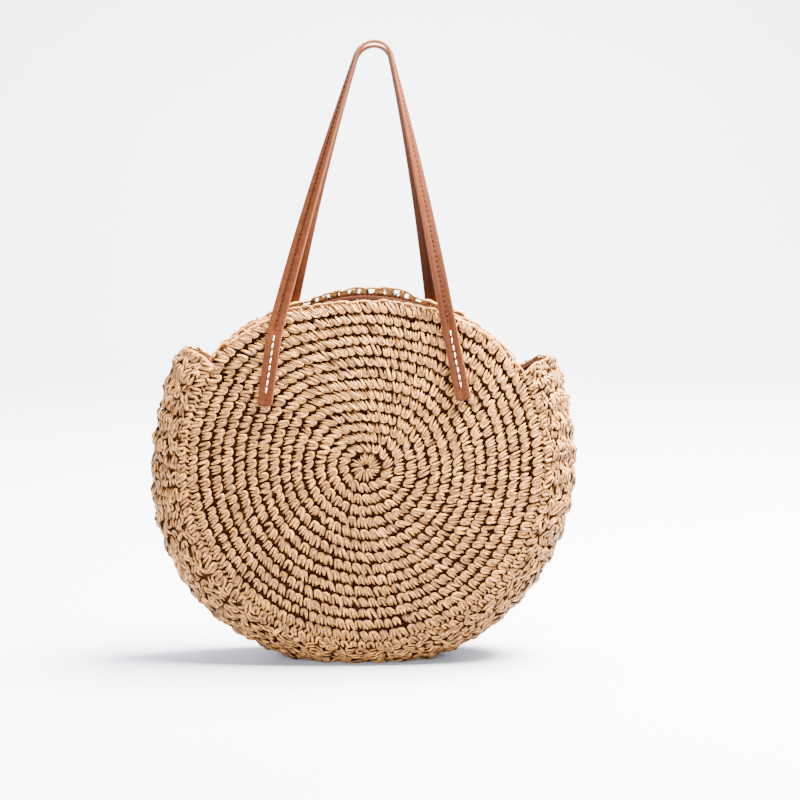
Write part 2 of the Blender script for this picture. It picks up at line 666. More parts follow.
def gusset_point(angle, share, depth):
    """A point of the arched band: share goes from -1 at the front seam to 1 at the rear one.

    Low down the band lies flat on the floor, its layers kept apart."""
    sideways, up = gusset_slump(angle, share)
    angle = ear_angle(angle)
    middle, seam = gusset_swings(angle, depth)
    swing = middle + (seam - middle) * np.abs(share)
    reach = ARCH_CENTRE + (ARCH_RADIUS - depth) * np.cos(swing)
    from_middle = (ARCH_RADIUS - depth) * np.sin(swing)
    height = CENTRE_HEIGHT + reach * np.sin(angle) + up
    place = leaned(reach * np.cos(angle) + sideways, from_middle, height, 1)
    place[..., 1] = np.where(share > 0, -place[..., 1], place[..., 1])
    place[..., 2] = np.maximum(place[..., 2], FLOOR_LAYER * np.maximum(depth + FLOOR_DEPTH, FLOOR_LEAST))
    return place


def seam_point(angle, across, depth, facing):
    """A point by its distance across the seam: less than zero on the disc, more on the gusset."""
    turn = ear_angle(angle) if facing > 0 else math.pi - ear_angle(angle)
    on_disc = panel_point(PANEL_RADIUS + np.minimum(across, 0), turn, depth, facing)
    middle, seam = gusset_swings(angle, depth)
    share = 1 - np.maximum(across, 0) / (ARCH_RADIUS * (seam - middle))
    on_gusset = gusset_point(angle, -facing * share, depth)
    return np.where((across < 0)[..., None], on_disc, on_gusset)


GUSSET_MIDDLE = 205.0
GUSSET_ROW = 8.4
GUSSET_STITCH = 7.2
EDGE_ROW = 9.2
EDGE_LAP = 1.5
GUSSET_SWEEP = math.pi + 2 * GUSSET_END
GUSSET_ROWS = int(round(GUSSET_SWEEP * GUSSET_MIDDLE / GUSSET_ROW))
ACROSS_STRAY = 0.8
ALONG_STRAY = 1.5
LUMP_LENGTH = 27.0
LUMP_HEIGHT = 1.3
LUMP_SWAY = 1.6
LUMP_SWAY_LENGTH = 17.0


def held_strays(spread, count, chance):
    """Normal strays, held within twice their spread."""
    return np.clip(chance.normal(0, spread, count), -2 * spread, 2 * spread)


def gusset_stitches(rows, chance):
    """Every stitch of some rows: its middle angle, its place across the band, and half the band's width.

    Each row is set half a stitch beside the one before it, and every stitch strays a little both ways."""
    found = []
    for row in rows:
        angle = GUSSET_END - GUSSET_SWEEP * (row + 0.5) / GUSSET_ROWS
        middle, seam = gusset_swings(angle, 0.0)
        half = ARCH_RADIUS * (seam - middle)
        inside = half - EDGE_ROW + EDGE_LAP
        count = int(round(2 * inside / GUSSET_STITCH))
        share = (np.arange(count) + 0.25 + 0.5 * (row % 2)) / count * 2 - 1
        across = share * inside + chance.normal(0, ACROSS_STRAY, count)
        stray = held_strays(ALONG_STRAY, count, chance) / GUSSET_MIDDLE
        found.append(np.stack([angle + stray, across, np.full(count, half)], 1))
    return np.concatenate(found)


def gusset_placed(field, angle, across, half):
    """Carries flat strands, along the band and across it, on to its arch, which swells in slow lumps."""
    along = angle[:, None, None] * GUSSET_MIDDLE - field[..., 0]
    aside = across[:, None, None] + field[..., 1]
    sway = LUMP_SWAY * np.sin(aside / LUMP_SWAY_LENGTH)
    lump = LUMP_HEIGHT * np.sin(2 * math.pi * along / LUMP_LENGTH + sway)
    share = np.clip(aside / half[:, None, None], -1, 1)
    return gusset_point(along / GUSSET_MIDDLE, share, STRAND_DEPTH - lump - field[..., 2]), field[..., 2]


LOOP_SHADE = np.array([0.66, 0.0, 0.66, 1.0, 1.0, 1.0])
LOOP_LAP = 1.6
LOOP_LEG, LOOP_HALF, LOOP_THICK = 0.250, 0.225, 1.4
TURNED_SHARE = 0.42
LOOSE_SHARE = 0.22
LOOSE_REACHES = (3.6, 6.2)
LOOSE_WIDTHS = (1.1, 1.5)
LOOSE_LIFTS = (-0.3, 2.1, -0.3)
LOOSE_THICK = 1.1
gusset_chance = np.random.default_rng(21)
gusset_pieces = []
for hand, rows in (("right", range(0, GUSSET_ROWS // 2)), ("left", range(GUSSET_ROWS // 2, GUSSET_ROWS))):
    angle, across, half = gusset_stitches(rows, gusset_chance).T
    count = len(angle)
    flat = folded_stitches(
        GUSSET_ROW + LOOP_LAP + gusset_chance.normal(0, 1.2, count),
        GUSSET_STITCH * gusset_chance.uniform(0.85, 1.2, count),
        LOOP_LEG + gusset_chance.normal(0, 0.03, count),
        LOOP_HALF,
        gusset_chance.normal(0, 0.36, count),
        LOOP_THICK,
        gusset_chance,
    )
    flat[..., 0] -= (GUSSET_ROW + LOOP_LAP) / 2
    turned = gusset_chance.uniform(0, 1, count) < TURNED_SHARE
    flat[..., :2] *= np.where(turned, -1, 1)[:, None, None, None]
    loops = gusset_placed(flat, angle, across, half)
    chosen = gusset_chance.uniform(0, 1, count) < LOOSE_SHARE
    angle, across, half = angle[chosen], across[chosen], half[chosen]
    count = len(angle)
    turn = gusset_chance.normal(0, 0.55, count)
    reach = gusset_chance.uniform(*LOOSE_REACHES, count)[:, None] * flat_points(np.cos(turn), np.sin(turn))
    stray = gusset_chance.normal(0, 2.0, (count, 2))
    lifts = strayed(LOOSE_LIFTS, 0.3, count, gusset_chance)
    bow = gusset_chance.normal(0, 1.0, count)
    wide = gusset_chance.uniform(*LOOSE_WIDTHS, count)
    loose = leaf_strands(stray - reach, stray + reach, bow, lifts, wide, LOOSE_THICK, gusset_chance)
    groups = [loops, gusset_placed(loose, angle, across, half)]
    gusset_pieces.append(put_strands(f"gusset_{hand}_straw", groups, gusset_chance, LOOP_SHADE))

# Along both seams runs a row of stitches like the disc's own, rooted in the seam and slanting on to the band.
EDGE_STITCH = 8.4
EDGE_LEG, EDGE_HALF, EDGE_THICK = 0.25, 0.215, 1.5
EDGE_SLANT = 0.40
EDGE_ROOT = 0.6


def seam_angles(pitch):
    """The middle angles of stitches set a pitch apart along a seam, from the right ear round to the left."""
    count = int(GUSSET_SWEEP * PANEL_RADIUS / pitch)
    return GUSSET_END - GUSSET_SWEEP * (np.arange(count) + 0.5) / count


seam_rows = []
for facing in (1, -1):
    angle = seam_angles(EDGE_STITCH)
    count = len(angle)
    flat = folded_stitches(
        EDGE_ROW + gusset_chance.normal(0, 0.7, count),
        EDGE_STITCH * gusset_chance.uniform(0.9, 1.1, count),
        EDGE_LEG,
        EDGE_HALF,
        EDGE_SLANT + gusset_chance.normal(0, 0.2, count),
        EDGE_THICK,
        gusset_chance,
    )
    turn = angle[:, None, None] + facing * flat[..., 1] / PANEL_RADIUS
    turn = np.clip(turn, -math.pi - GUSSET_END, GUSSET_END)
    place = seam_point(turn, flat[..., 0] + EDGE_ROOT, STRAND_DEPTH - flat[..., 2], facing)
    seam_rows.append((place, flat[..., 2]))
gusset_pieces.append(put_strands("gusset_seam_straw", seam_rows, gusset_chance))

# Behind the stitches lies the deep row of loops that they are worked into.
ROW_STEPS = 17
ROW_HALF_WIDTH = 5.4
ROW_DEPTH = 5.4
row_angle = GUSSET_END - GUSSET_SWEEP * np.linspace(0.006, 0.994, GUSSET_ROWS)[:, None, None]
row_share = np.linspace(-1, 1, ROW_STEPS)[None, :, None]
row_points = gusset_point(
    row_angle + ROW_HALF_WIDTH / GUSSET_MIDDLE * np.cos(DEEP_TURN),
    row_share + 0 * DEEP_TURN,
    ROW_DEPTH - DEEP_HALF_HEIGHT * np.sin(DEEP_TURN),
)
row_quads, row_uv = strand_faces(GUSSET_ROWS, ROW_STEPS)
row_uv = row_uv.reshape(-1, 2)
gusset_rows = put_mesh("gusset_straw_rows", row_points, row_quads, row_uv, tone=DEEP_TONE, low=0.0)
gusset_depths = straw_material(
    "gusset_depths", 0.0,
    (0.060, 0.021, 0.007), (0.030, 0.010, 0.003), (0.017, 0.0055, 0.002), (0.018, 0.006, 0.002),
)
for piece, finish in zip(gusset_pieces + [gusset_rows], [paper_straw] * 3 + [gusset_depths]):
    piece.data.materials.append(finish)
    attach(piece, "bag")
    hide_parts("gusset")

# Joining strands
# Thinner straw whipped over the seam of each disc and the gusset, one short slanting stitch after another.
# It lies low in the groove of the seam, so it hardly parts the disc from the band.

JOINING_PITCH = 5.6
JOINING_TIP = np.array([1.6, 2.9])
JOINING_LOW = -1.6
JOINING_HALF, JOINING_THICK = 1.4, 1.3
JOINING_STRAY = 0.3
edging_straw = straw_material(
    "edging_straw", 0.15,
    (0.70, 0.335, 0.092), (0.42, 0.180, 0.052), (0.26, 0.100, 0.030), (0.05, 0.016, 0.005),
)
for facing, end in ((1, "front"), (-1, "rear")):
    chance = np.random.default_rng(31 + facing)
    angle = seam_angles(JOINING_PITCH)
    count = len(angle)
    root = flat_points(*strayed(-JOINING_TIP, JOINING_STRAY, count, chance))
    tip = flat_points(*strayed(JOINING_TIP, JOINING_STRAY, count, chance))
    lifts = (JOINING_LOW, chance.normal(0, JOINING_STRAY, count), JOINING_LOW)
    bow = chance.normal(0, JOINING_STRAY, count)
    flat = leaf_strands(root, tip, bow, lifts, JOINING_HALF, JOINING_THICK, chance)
    turn = angle[:, None, None] - facing * flat[..., 0] / PANEL_RADIUS
    place = seam_point(turn, flat[..., 1], STRAND_DEPTH - flat[..., 2], facing)
    joining = put_strands(end + "_joining_straw", [(place, flat[..., 2])], chance)
    joining.data.materials.append(edging_straw)
    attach(joining, "bag")
    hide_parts(end + "_joining_strand")

# Rim edging
# The mouth of each disc is finished with a thin wavy strand on short posts, and close rows below its ends.
# Daylight shows through the small holes between the posts. The rear ones stand a little higher.


def rim_line(facing):
    """The rim of the mouth from its right-hand end to its left: its length so far, places and directions."""
    right_end, left_end = ear_angle(GUSSET_END), ear_angle(math.pi - GUSSET_END)
    ends = (right_end, left_end) if facing > 0 else (math.pi - left_end, math.pi - right_end)
    turn = np.linspace(*ends, 361)
    reach = rim_radius(turn, facing)
    x, rise = reach * np.cos(turn), reach * np.sin(turn)
    run = np.concatenate([[0], np.cumsum(np.hypot(np.diff(x), np.diff(rise)))])
    return run, x, rise, np.gradient(x, run), np.gradient(rise, run)


def rim_point(along, rise, depth, facing):
    """A point by its distance along the mouth from its right-hand end, and its rise square to the rim."""
    line = rim_line(facing)
    at_x, at_rise, ahead_x, ahead_rise = [np.interp(along, line[0], part) for part in line[1:]]
    past = along - np.clip(along, 0, line[0][-1])
    x = at_x + past * ahead_x + rise * ahead_rise
    return dome_point(x, at_rise + past * ahead_rise - rise * ahead_x, depth, facing)


EDGING_PITCH = 11.2
PEAK_AT = 0.573
PEAK_SPREAD = 0.042
LAID_ROWS = ((0.0, -0.2, 1.6), (0.5, 0.8, 1.3))
LAID_REACH = 0.68
LAID_LIFTS = (-0.4, 1.3, -0.4)
LAID_THICK = 1.5
LAID_STRAY = 0.25
POST_ROOT = -1.4
POST_LIFTS = (0.2, 0.9, 0.1)
POST_HALF, POST_THICK = 0.55, 1.3
ARC_LAP = 0.17
ARC_LIFTS = (-0.2, 0.7, -0.2)
ARC_BOW = 0.9
ARC_HALF, ARC_HALF_BY_POST = 1.05, 0.028


def edging_strands(length, rises, posts, laid_from, laid_to, chance, peak=0.0):
    """Forked posts along an edge, thin strands arching from each to the next, and close rows at their feet.

    Its height goes from the first rise at the middle to the second half-way to the ends, as a square.
    A few loops just past the middle may stand higher, by the peak."""
    count = int(round(length / EDGING_PITCH))
    pitch = length / count
    centre = (np.arange(count) + 0.5) * pitch + held_strays(ALONG_STRAY, count, chance)
    from_middle = np.abs(2 * centre / length - 1)
    rise = rises[0] + (rises[1] - rises[0]) * np.minimum(2 * from_middle, 1) ** 2
    rise = rise + peak * bell(centre / length, PEAK_AT, PEAK_SPREAD)
    rows = []
    laid = (from_middle > laid_from) & (from_middle < laid_to)
    for shift, height, wide in LAID_ROWS:
        middle = (centre + shift * pitch)[laid]
        n = len(middle)
        root = flat_points(middle - LAID_REACH * pitch, height - 0.4 + chance.normal(0, LAID_STRAY, n))
        tip = flat_points(middle + LAID_REACH * pitch, height + 0.5 + chance.normal(0, LAID_STRAY, n))
        lifts = strayed(LAID_LIFTS, LAID_STRAY, n, chance)
        rows.append(leaf_strands(root, tip, chance.normal(0.2, 0.4, n), lifts, wide, LAID_THICK, chance))
    for shift in (-0.5, 0.5):
        root = flat_points(centre - shift + chance.normal(0, 0.4, count), POST_ROOT)
        tip_along = centre + shift * posts * chance.uniform(0.8, 1.6, count)
        tip = flat_points(tip_along, rise + chance.normal(0, 0.5, count))
        lifts = strayed(POST_LIFTS, 0.3, count, chance)
        wide = POST_HALF * posts * chance.uniform(0.6, 1.5, count)
        rows.append(leaf_strands(root, tip, chance.normal(0, 0.5, count), lifts, wide, POST_THICK, chance))
    knots = np.concatenate([[0.0], centre, [length]])
    wave = np.interp(knots, centre, rise) + chance.normal(0, 0.75, count + 2)
    lap = ARC_LAP * pitch
    start = flat_points(knots[:-1] - lap, wave[:-1] - 0.5)
    stop = flat_points(knots[1:] + lap, wave[1:] - 0.9)
    lifts = strayed(ARC_LIFTS, 0.3, count + 1, chance)
    thin = chance.uniform(0.72, 1.12, count + 1) * (ARC_HALF + ARC_HALF_BY_POST * posts**2)
    bow = ARC_BOW + chance.normal(0, 0.7, count + 1)
    rows.append(leaf_strands(start, stop, bow, lifts, thin, thin, chance))
    return rows


LAID_SPAN = (0.45, 0.84)
RIM_CLEAR = 1.6
ARC_DARKS = {1: 3.2, -1: 0.4}
RIM_EDGINGS = ((1, "front", (2.8, 4.2), 1.6, 0.0), (-1, "rear", (4.6, 2.4), 5.6, 4.2))
for facing, end, rises, posts, peak in RIM_EDGINGS:
    chance = np.random.default_rng(41 + facing)
    groups = []
    for flat in edging_strands(rim_line(facing)[0][-1], rises, posts, *LAID_SPAN, chance, peak):
        place = rim_point(flat[..., 0], flat[..., 1], STRAND_DEPTH - flat[..., 2], facing)
        groups.append((place, flat[..., 2] + RIM_CLEAR))
    groups[-1] = (groups[-1][0], groups[-1][1] - ARC_DARKS[facing])
    edging = put_strands(end + "_rim_straw", groups, chance, FREE_SHADE, turned=True)
    edging.data.materials.append(edging_straw)
    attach(edging, "bag")
    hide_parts(end + "_rim_edging")

# Gusset edging
# The same thin strand finishes each end of the gusset, over the ears that stand beside the mouth.
# It follows the arch of the band from the front disc to the rear one.

EAR_EDGING_RISES = (0.5, 0.5)
EAR_POSTS = 2.6
EAR_CLEAR = 1.2
NO_LAID_SPAN = (2.0, 2.0)
for side, end in ((1, "right"), (-1, "left")):
    chance = np.random.default_rng(51 + side)
    middle, seam = gusset_swings(GUSSET_END, STRAND_DEPTH)
    half = (ARCH_RADIUS - STRAND_DEPTH) * (seam - middle)
    groups = []
    for flat in edging_strands(2 * half, EAR_EDGING_RISES, EAR_POSTS, *NO_LAID_SPAN, chance):
        turn = GUSSET_END + flat[..., 1] / GUSSET_MIDDLE
        share = -side * np.clip(flat[..., 0] / half - 1, -1, 1)
        turn = turn if side > 0 else math.pi - turn
        groups.append((gusset_point(turn, share, STRAND_DEPTH - flat[..., 2]), flat[..., 2] + EAR_CLEAR))
    edging = put_strands(end + "_ear_straw", groups, chance, FREE_SHADE, turned=True)
    edging.data.materials.append(edging_straw)
    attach(edging, "bag")
    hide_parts(end + "_gusset_edging")

# Lining
# A thin plain mauve-brown cloth: two round cloths and a band, sewn to the straw a little below the rim.
# A flat slip pocket of the same cloth is sewn on the rear one. The cloth is taut, with only slight puckers.

LINING_DEPTH = 7.3
LINING_THICKNESS = 0.9
LINING_DROP = 2.0
LINING_END = GUSSET_END - LINING_DROP / PANEL_RADIUS
POCKET_WIDTH = 150.0
POCKET_HEIGHT = 120.0
POCKET_TOP = 80.0
POCKET_DEPTH = 8.4
EDGE_PUCKER = 0.7
SLOW_PUCKER = 0.5


def pucker(x, rise):
    """Soft puckers, inwards only: two slow waves that cross, the finer one deeper towards the sewn edge."""
    edge = np.hypot(x, rise) / PANEL_RADIUS
    fine = EDGE_PUCKER * edge**3 * (1 + np.sin(x / 7.0 + rise / 15.0)) / 2
    return fine + SLOW_PUCKER * (1 + np.sin(x / 31.0 - rise / 23.0)) / 2


def cloth_piece(name, points, columns, flat_uv):
    """A sheet on a grid of points, given its thickness on its inner side."""
    rows = len(points) // columns
    quads = grid_quads(rows, columns)
    piece = put_mesh(name, points, quads, flat_uv.reshape(-1, 2)[quads.ravel()])
    solid = piece.modifiers.new("cloth", "SOLIDIFY")
    solid.thickness = LINING_THICKNESS / 1000
    solid.offset = -1
    piece.data.materials.append(lining_cloth)
    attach(piece, "bag")
    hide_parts(name.replace("_cloth", ""))
    return piece


def thread_bands(tree, place, way, **settings):
    """A wave in bands across one way, for threads laid side by side."""
    bands = {"wave_type": "BANDS", "bands_direction": way}
    return add_node(tree, "ShaderNodeTexWave", **bands, Vector=place, **settings).outputs["Fac"]


lining_cloth, cloth_tree, cloth_shader = new_material("lining_cloth", 0.8, 0.02)
cloth_place = uv_place(cloth_tree)
warp, weft = [thread_bands(cloth_tree, cloth_place, way, Scale=620.0, Distortion=0.6) for way in ("X", "Y")]
slub = add_node(cloth_tree, "ShaderNodeTexNoise", Vector=cloth_place, Scale=26.0, Detail=4.0).outputs["Fac"]
cloth_tint = tinted(cloth_tree, slub, (0.3, (0.036, 0.0124, 0.0080)), (0.7, (0.050, 0.0180, 0.0120)))
cloth_normal = bumped(cloth_tree, product(cloth_tree, warp, weft), 0.35, 0.0003)
fill_node(cloth_tree, cloth_shader, Base_Color=cloth_tint, Normal=cloth_normal)

# A square grid is drawn out to the round: each axis is shortened by the other, so the centre has no pole.
square = np.linspace(-1, 1, 57)
across, up = [part.ravel() for part in np.meshgrid(square, square, indexing="xy")]
disc_x, disc_z = across * np.sqrt(1 - up**2 / 2), up * np.sqrt(1 - across**2 / 2)
disc_angle = np.arctan2(disc_z, disc_x)
for facing, end, cut in ((1, "front", 0.335), (-1, "rear", 0.340)):
    disc_reach = np.hypot(disc_x, disc_z) * rim_radius(disc_angle, facing, LINING_DROP, LINING_END)
    lining_x, lining_rise = disc_reach * np.cos(disc_angle), disc_reach * np.sin(disc_angle)
    points = dome_point(lining_x, lining_rise, LINING_DEPTH + pucker(lining_x, lining_rise), facing)
    lining_uv = flat_points(lining_x, lining_rise) * 0.001
    cloth = cloth_piece(end + "_lining_cloth", points, len(square), lining_uv)

band_turn = LINING_END - (math.pi + 2 * LINING_END) * np.linspace(0, 1, 161)[:, None]
band_share = np.linspace(1, -1, 25)[None, :]
band_points = gusset_point(band_turn, band_share, LINING_DEPTH + 0 * band_turn * band_share).reshape(-1, 3)
band_uv = flat_points(band_share * 0.058, band_turn * 0.2)
band_cloth = cloth_piece("gusset_lining_cloth", band_points, band_share.size, band_uv)

pocket_side = np.linspace(-POCKET_WIDTH / 2, POCKET_WIDTH / 2, 31)
pocket_up = np.linspace(POCKET_TOP - POCKET_HEIGHT, POCKET_TOP, 25)
pocket_x, pocket_rise = [part.ravel() for part in np.meshgrid(pocket_side, pocket_up, indexing="xy")]
pocket_points = dome_point(pocket_x, pocket_rise, POCKET_DEPTH + pucker(pocket_x, pocket_rise), -1)
pocket_uv = flat_points(pocket_x, pocket_rise) * 0.001
pocket_cloth = cloth_piece("slip_pocket_cloth", pocket_points, len(pocket_side), pocket_uv)

# Handles
# One long strip of tan leather to each side, its edges folded in to meet along the middle of its back.
# Both ends are sewn flat on the disc; between them the strap stands up, turns a quarter and lies flat on top.

STRAP_WIDTH = 15.0
STRAP_THICKNESS = 3.0
HANDLE_TURN = math.radians(1.43)
TAB_END_X = 97.3
TAB_END_HEIGHT = 261.8
TAB_END_CROWN = 2.0
TAB_END_FADE = 5.0
TAB_CLEARANCE = 0.3
HINGE_X = 85.3
HINGE_HEIGHT = 335.0
HINGE_GAP = 0.4
APEX_HEIGHT = 616.5
APEX_SHIFT = 19.8
APEX_RADIUS = 18.0
APEX_CLEARANCE = 0.8
LEG_TOP = math.radians(16)
REAR_INSET = 11.0
REAR_APEX_DROP = 4.0
STRAP_STEPS = 401
EASE_STEPS = 7
EASE_SPREAD = 9.0


def unit(v):
    """A vector, or each of many, made one long."""
    return v / np.linalg.norm(v, axis=-1, keepdims=True)


def lean_vector(v):
    """A vector of the upright front, tipped back with it."""
    return leaned(v[0], -v[1], v[2], 1)


def turn_handle(points):
    """Turns points of a front handle about the disc's leaned axis, so its right end is sewn on higher."""
    axis = lean_vector(np.array([0.0, 1.0, 0.0]))
    from_centre = points - lean_vector(np.array([0.0, 0.0, CENTRE_HEIGHT]))
    along = (from_centre @ axis)[..., None] * axis
    square_to_it = np.cross(from_centre, axis)
    turned = along + (from_centre - along) * math.cos(HANDLE_TURN) + square_to_it * math.sin(HANDLE_TURN)
    return turned + points - from_centre


def strap_tab(inset):
    """Where a right-hand tab lies: its hinge end's middle, its direction up, its outward normal and length.

    The strip touches the dome at its own middle and runs straight from there."""
    low = np.array([TAB_END_X - inset, 0, TAB_END_HEIGHT - CENTRE_HEIGHT])
    high = np.array([HINGE_X - inset, 0, HINGE_HEIGHT - CENTRE_HEIGHT])
    middle = (low + high) / 2
    from_sphere = np.array([middle[0], -math.sqrt(SPHERE_RADIUS**2 - middle @ middle), middle[2]])
    normal = unit(from_sphere)
    along = unit((high - low) - normal * ((high - low) @ normal))
    length = np.linalg.norm(high - low)
    seat = from_sphere + np.array([0, -SPHERE_DEPTH, CENTRE_HEIGHT]) + normal * TAB_CLEARANCE
    hinge = seat + along * (length / 2 + HINGE_GAP) + normal * STRAP_THICKNESS / 2
    return lean_vector(hinge), lean_vector(along), lean_vector(normal), length


def strap_line(inset, apex_height):
    """The strap's middle line from left end to right: runs from the top, points, across and out directions.

    From the top the line is an arc, then a long slow arc down to the hinge, then straight down the tab. The
    strap turns a quarter about its line on the way, from flat over the top to flat on the disc."""
    hinge, up, normal, tab_length = strap_tab(inset)
    apex = np.array([0, -STRAP_WIDTH / 2 - APEX_CLEARANCE, apex_height - STRAP_THICKNESS / 2])
    arc_length = APEX_RADIUS * (math.pi / 2 - LEG_TOP)
    leg_x, leg_z = APEX_RADIUS * math.cos(LEG_TOP), apex[2] - APEX_RADIUS * (1 - math.sin(LEG_TOP))
    chord = np.array([hinge[0] - leg_x, leg_z - hinge[2]])
    chord_lean = math.atan2(chord[0], chord[1])
    leg_radius = np.linalg.norm(chord) / (2 * math.sin(LEG_TOP - chord_lean))
    free = arc_length + 2 * leg_radius * (LEG_TOP - chord_lean)
    total = free + HINGE_GAP + tab_length

    run = np.linspace(-total, total, STRAP_STEPS)
    side, far = np.where(run < 0, -1.0, 1.0), np.abs(run)
    on_top = far <= arc_length
    turn = np.minimum(far, arc_length) / APEX_RADIUS
    lean_here = LEG_TOP - np.clip(far - arc_length, 0, free - arc_length) / leg_radius
    leg_out = leg_x + leg_radius * (np.cos(lean_here) - math.cos(LEG_TOP))
    leg_up = leg_z - leg_radius * (math.sin(LEG_TOP) - np.sin(lean_here))
    x = np.where(on_top, APEX_RADIUS * np.sin(turn), leg_out)
    z = np.where(on_top, apex[2] - APEX_RADIUS * (1 - np.cos(turn)), leg_up)
    rise = (z - hinge[2]) / (apex[2] - hinge[2])
    y = hinge[1] + (apex[1] - hinge[1]) * rise

    def mirrored(vector):
        return np.stack(np.broadcast_arrays(side * vector[0], vector[1], vector[2]), -1)

    down_tab = np.clip(far - free, 0, None)[:, None] * mirrored(up)
    place = np.stack([side * x + APEX_SHIFT * rise, y, z], -1) - down_tab

    # The corner where the strap leaves the disc is eased by a moving mean, near the hinge alone.
    before, after = [np.repeat(end, EASE_STEPS // 2, axis=0) for end in (place[:1], place[-1:])]
    padded = np.concatenate([before, place, after])
    mean = sum(padded[i:i + len(place)] for i in range(EASE_STEPS)) / EASE_STEPS
    place = place + (mean - place) * bell(far, free, EASE_SPREAD)[:, None]

    ahead = unit(np.gradient(place, axis=0))
    tab_out = mirrored(normal)
    flat = unit(tab_out - ahead * np.sum(tab_out * ahead, -1, keepdims=True))
    top = unit(np.cross(ahead, [0.0, 1.0, 0.0]))
    twist = (math.pi / 2 * np.clip(1 - far / free, 0, 1))[:, None]
    out = unit(flat * np.cos(twist) + top * np.sin(twist))
    return run, place, np.cross(out, ahead), out, free


def strap_point(line, run, across, out):
    """A point of the strap by its run from the top, its place across and its height off the middle."""
    lines = [np.stack([np.interp(run, line[0], part[:, i]) for i in range(3)], -1) for part in line[1:4]]
    return turn_handle(lines[0] + lines[1] * across[..., None] + lines[2] * out[..., None])


EDGE_ROUND = 1.3
EDGE_SHARE = 0.25
SEAM_VALLEY = 0.6
SEAM_SPREAD = 2.2
BACK_GROOVE = 0.8
BACK_SPREAD = 0.7
HALF_SHARES = np.array([0.12, 0.24, 0.55, 0.84, 0.94, 0.985, 1.0])
FACE_SHARES = np.concatenate([-HALF_SHARES[::-1], [0], HALF_SHARES])


def strap_section():
    """Across and out of the strap's section: round edges, a pressed seam in front, the fold's slit behind."""
    across = STRAP_WIDTH / 2 * FACE_SHARES
    past = np.clip((np.abs(across) - STRAP_WIDTH / 2 + EDGE_ROUND) / EDGE_ROUND, 0, 1)
    half = STRAP_THICKNESS / 2 * (EDGE_SHARE + (1 - EDGE_SHARE) * np.sqrt(1 - past**2))
    front = half - SEAM_VALLEY * bell(across, 0, SEAM_SPREAD)
    back = -half + BACK_GROOVE * bell(across, 0, BACK_SPREAD)
    return np.concatenate([across, across[::-1]]), np.concatenate([front, back[::-1]])


HIDE_PLACES = [-1.1, -1.0, -0.4, 0.2, 0.5, 0.8, 1.0, 1.1]
HIDE_TONES = [0.50, 0.10, 0.0, 0.40, 0.68, 0.80, 0.80, 0.68]
WORN_FROM, WORN_SPREAD = 0.90, 0.08
PRESSED_TONE, PRESSED_SPREAD = 0.7, 0.9
PRESSED_END, PRESSED_FADE = 12, 8
CUT_TONE, CUT_SPREAD = 0.6, 0.8


def strap_piece(name, line, facing):
    """The whole strap as a section carried along its line, with crowned ends, closed at both.

    Its points are marked where the rim is worn, where the seam is pressed, and how dark the hide is."""
    across, out = strap_section()
    along = line[0][:, None]
    from_end = line[0][-1] - np.abs(along)
    run = along + 0 * across
    crown = TAB_END_CROWN * (2 * across / STRAP_WIDTH) ** 2 * np.exp(-from_end / TAB_END_FADE)
    run = run - np.sign(run) * crown
    points = strap_point(line, run, across + 0 * run, out + 0 * run)
    points[..., 1] *= facing
    quads = tube_faces(*points.shape[:2])
    quads = quads if facing < 0 else quads[:, ::-1]
    round_it = np.concatenate([[0], np.cumsum(np.hypot(np.diff(across), np.diff(out)))])
    uv = flat_points(round_it, along).reshape(-1, 2) * 0.001
    half_width = STRAP_WIDTH / 2
    rim = np.clip((np.abs(across) - WORN_FROM * half_width) / (WORN_SPREAD * half_width), 0, 1) + 0 * run
    on_loop = np.clip((line[4] - PRESSED_END - np.abs(along)) / PRESSED_FADE, 0, 1)
    seam = PRESSED_TONE * bell(across, 0, PRESSED_SPREAD) * on_loop + CUT_TONE * bell(from_end, 0, CUT_SPREAD)
    hide = np.interp(along / line[4], HIDE_PLACES, HIDE_TONES) + 0 * run
    return put_mesh(name, points, quads, uv[quads.ravel()], rim=rim, seam=seam, hide=hide)


handle_leather, leather_tree, leather_shader = new_material("handle_leather", 0.5, 0.06)
leather_place = uv_place(leather_tree)
mottle = add_node(
    leather_tree, "ShaderNodeTexNoise", Vector=leather_place, Scale=150.0, Detail=6.0, Roughness=0.7
).outputs["Fac"]
grain = add_node(leather_tree, "ShaderNodeTexVoronoi", feature="DISTANCE_TO_EDGE", Vector=leather_place)
fill_node(leather_tree, grain, Scale=700.0, Randomness=0.9)
leather_tint = tinted(
    leather_tree,
    mottle,
    (0.30, (0.048, 0.0117, 0.0034)),
    (0.50, (0.071, 0.0184, 0.0056)),
    (0.72, (0.097, 0.0268, 0.0087)),
)
for mark, colour in (
    ("hide", (0.026, 0.0060, 0.0016, 1)),
    ("rim", (0.125, 0.041, 0.019, 1)),
    ("seam", (0.022, 0.0055, 0.002, 1)),
):
    leather_tint = mixed(leather_tree, attribute_value(leather_tree, mark), leather_tint, colour)
leather_gloss = ranged(leather_tree, mottle, (0.3, 0.7), (0.46, 0.62))
leather_normal = bumped(leather_tree, grain.outputs["Distance"], 0.9, 0.0006)
leather_look = {"Base_Color": leather_tint, "Roughness": leather_gloss, "Normal": leather_normal}
fill_node(leather_tree, leather_shader, **leather_look)

handle_lines = {}
for facing, end, inset, drop in ((1, "front", 0.0, 0.0), (-1, "rear", REAR_INSET, REAR_APEX_DROP)):
    handle_lines[end] = strap_line(inset, APEX_HEIGHT - drop)
    strap = strap_piece(end + "_handle_strap", handle_lines[end], facing)
    strap.data.materials.append(handle_leather)
    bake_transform(strap)
    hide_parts(end + "_handle_loop", end + "_left_tab", end + "_right_tab")

# Handle threads
# Thick white thread sews each end of the straps to the straw, in a row of eight long stitches.
# Above it a fine thread of the leather's own colour closes the fold, in short stitches right over the top.

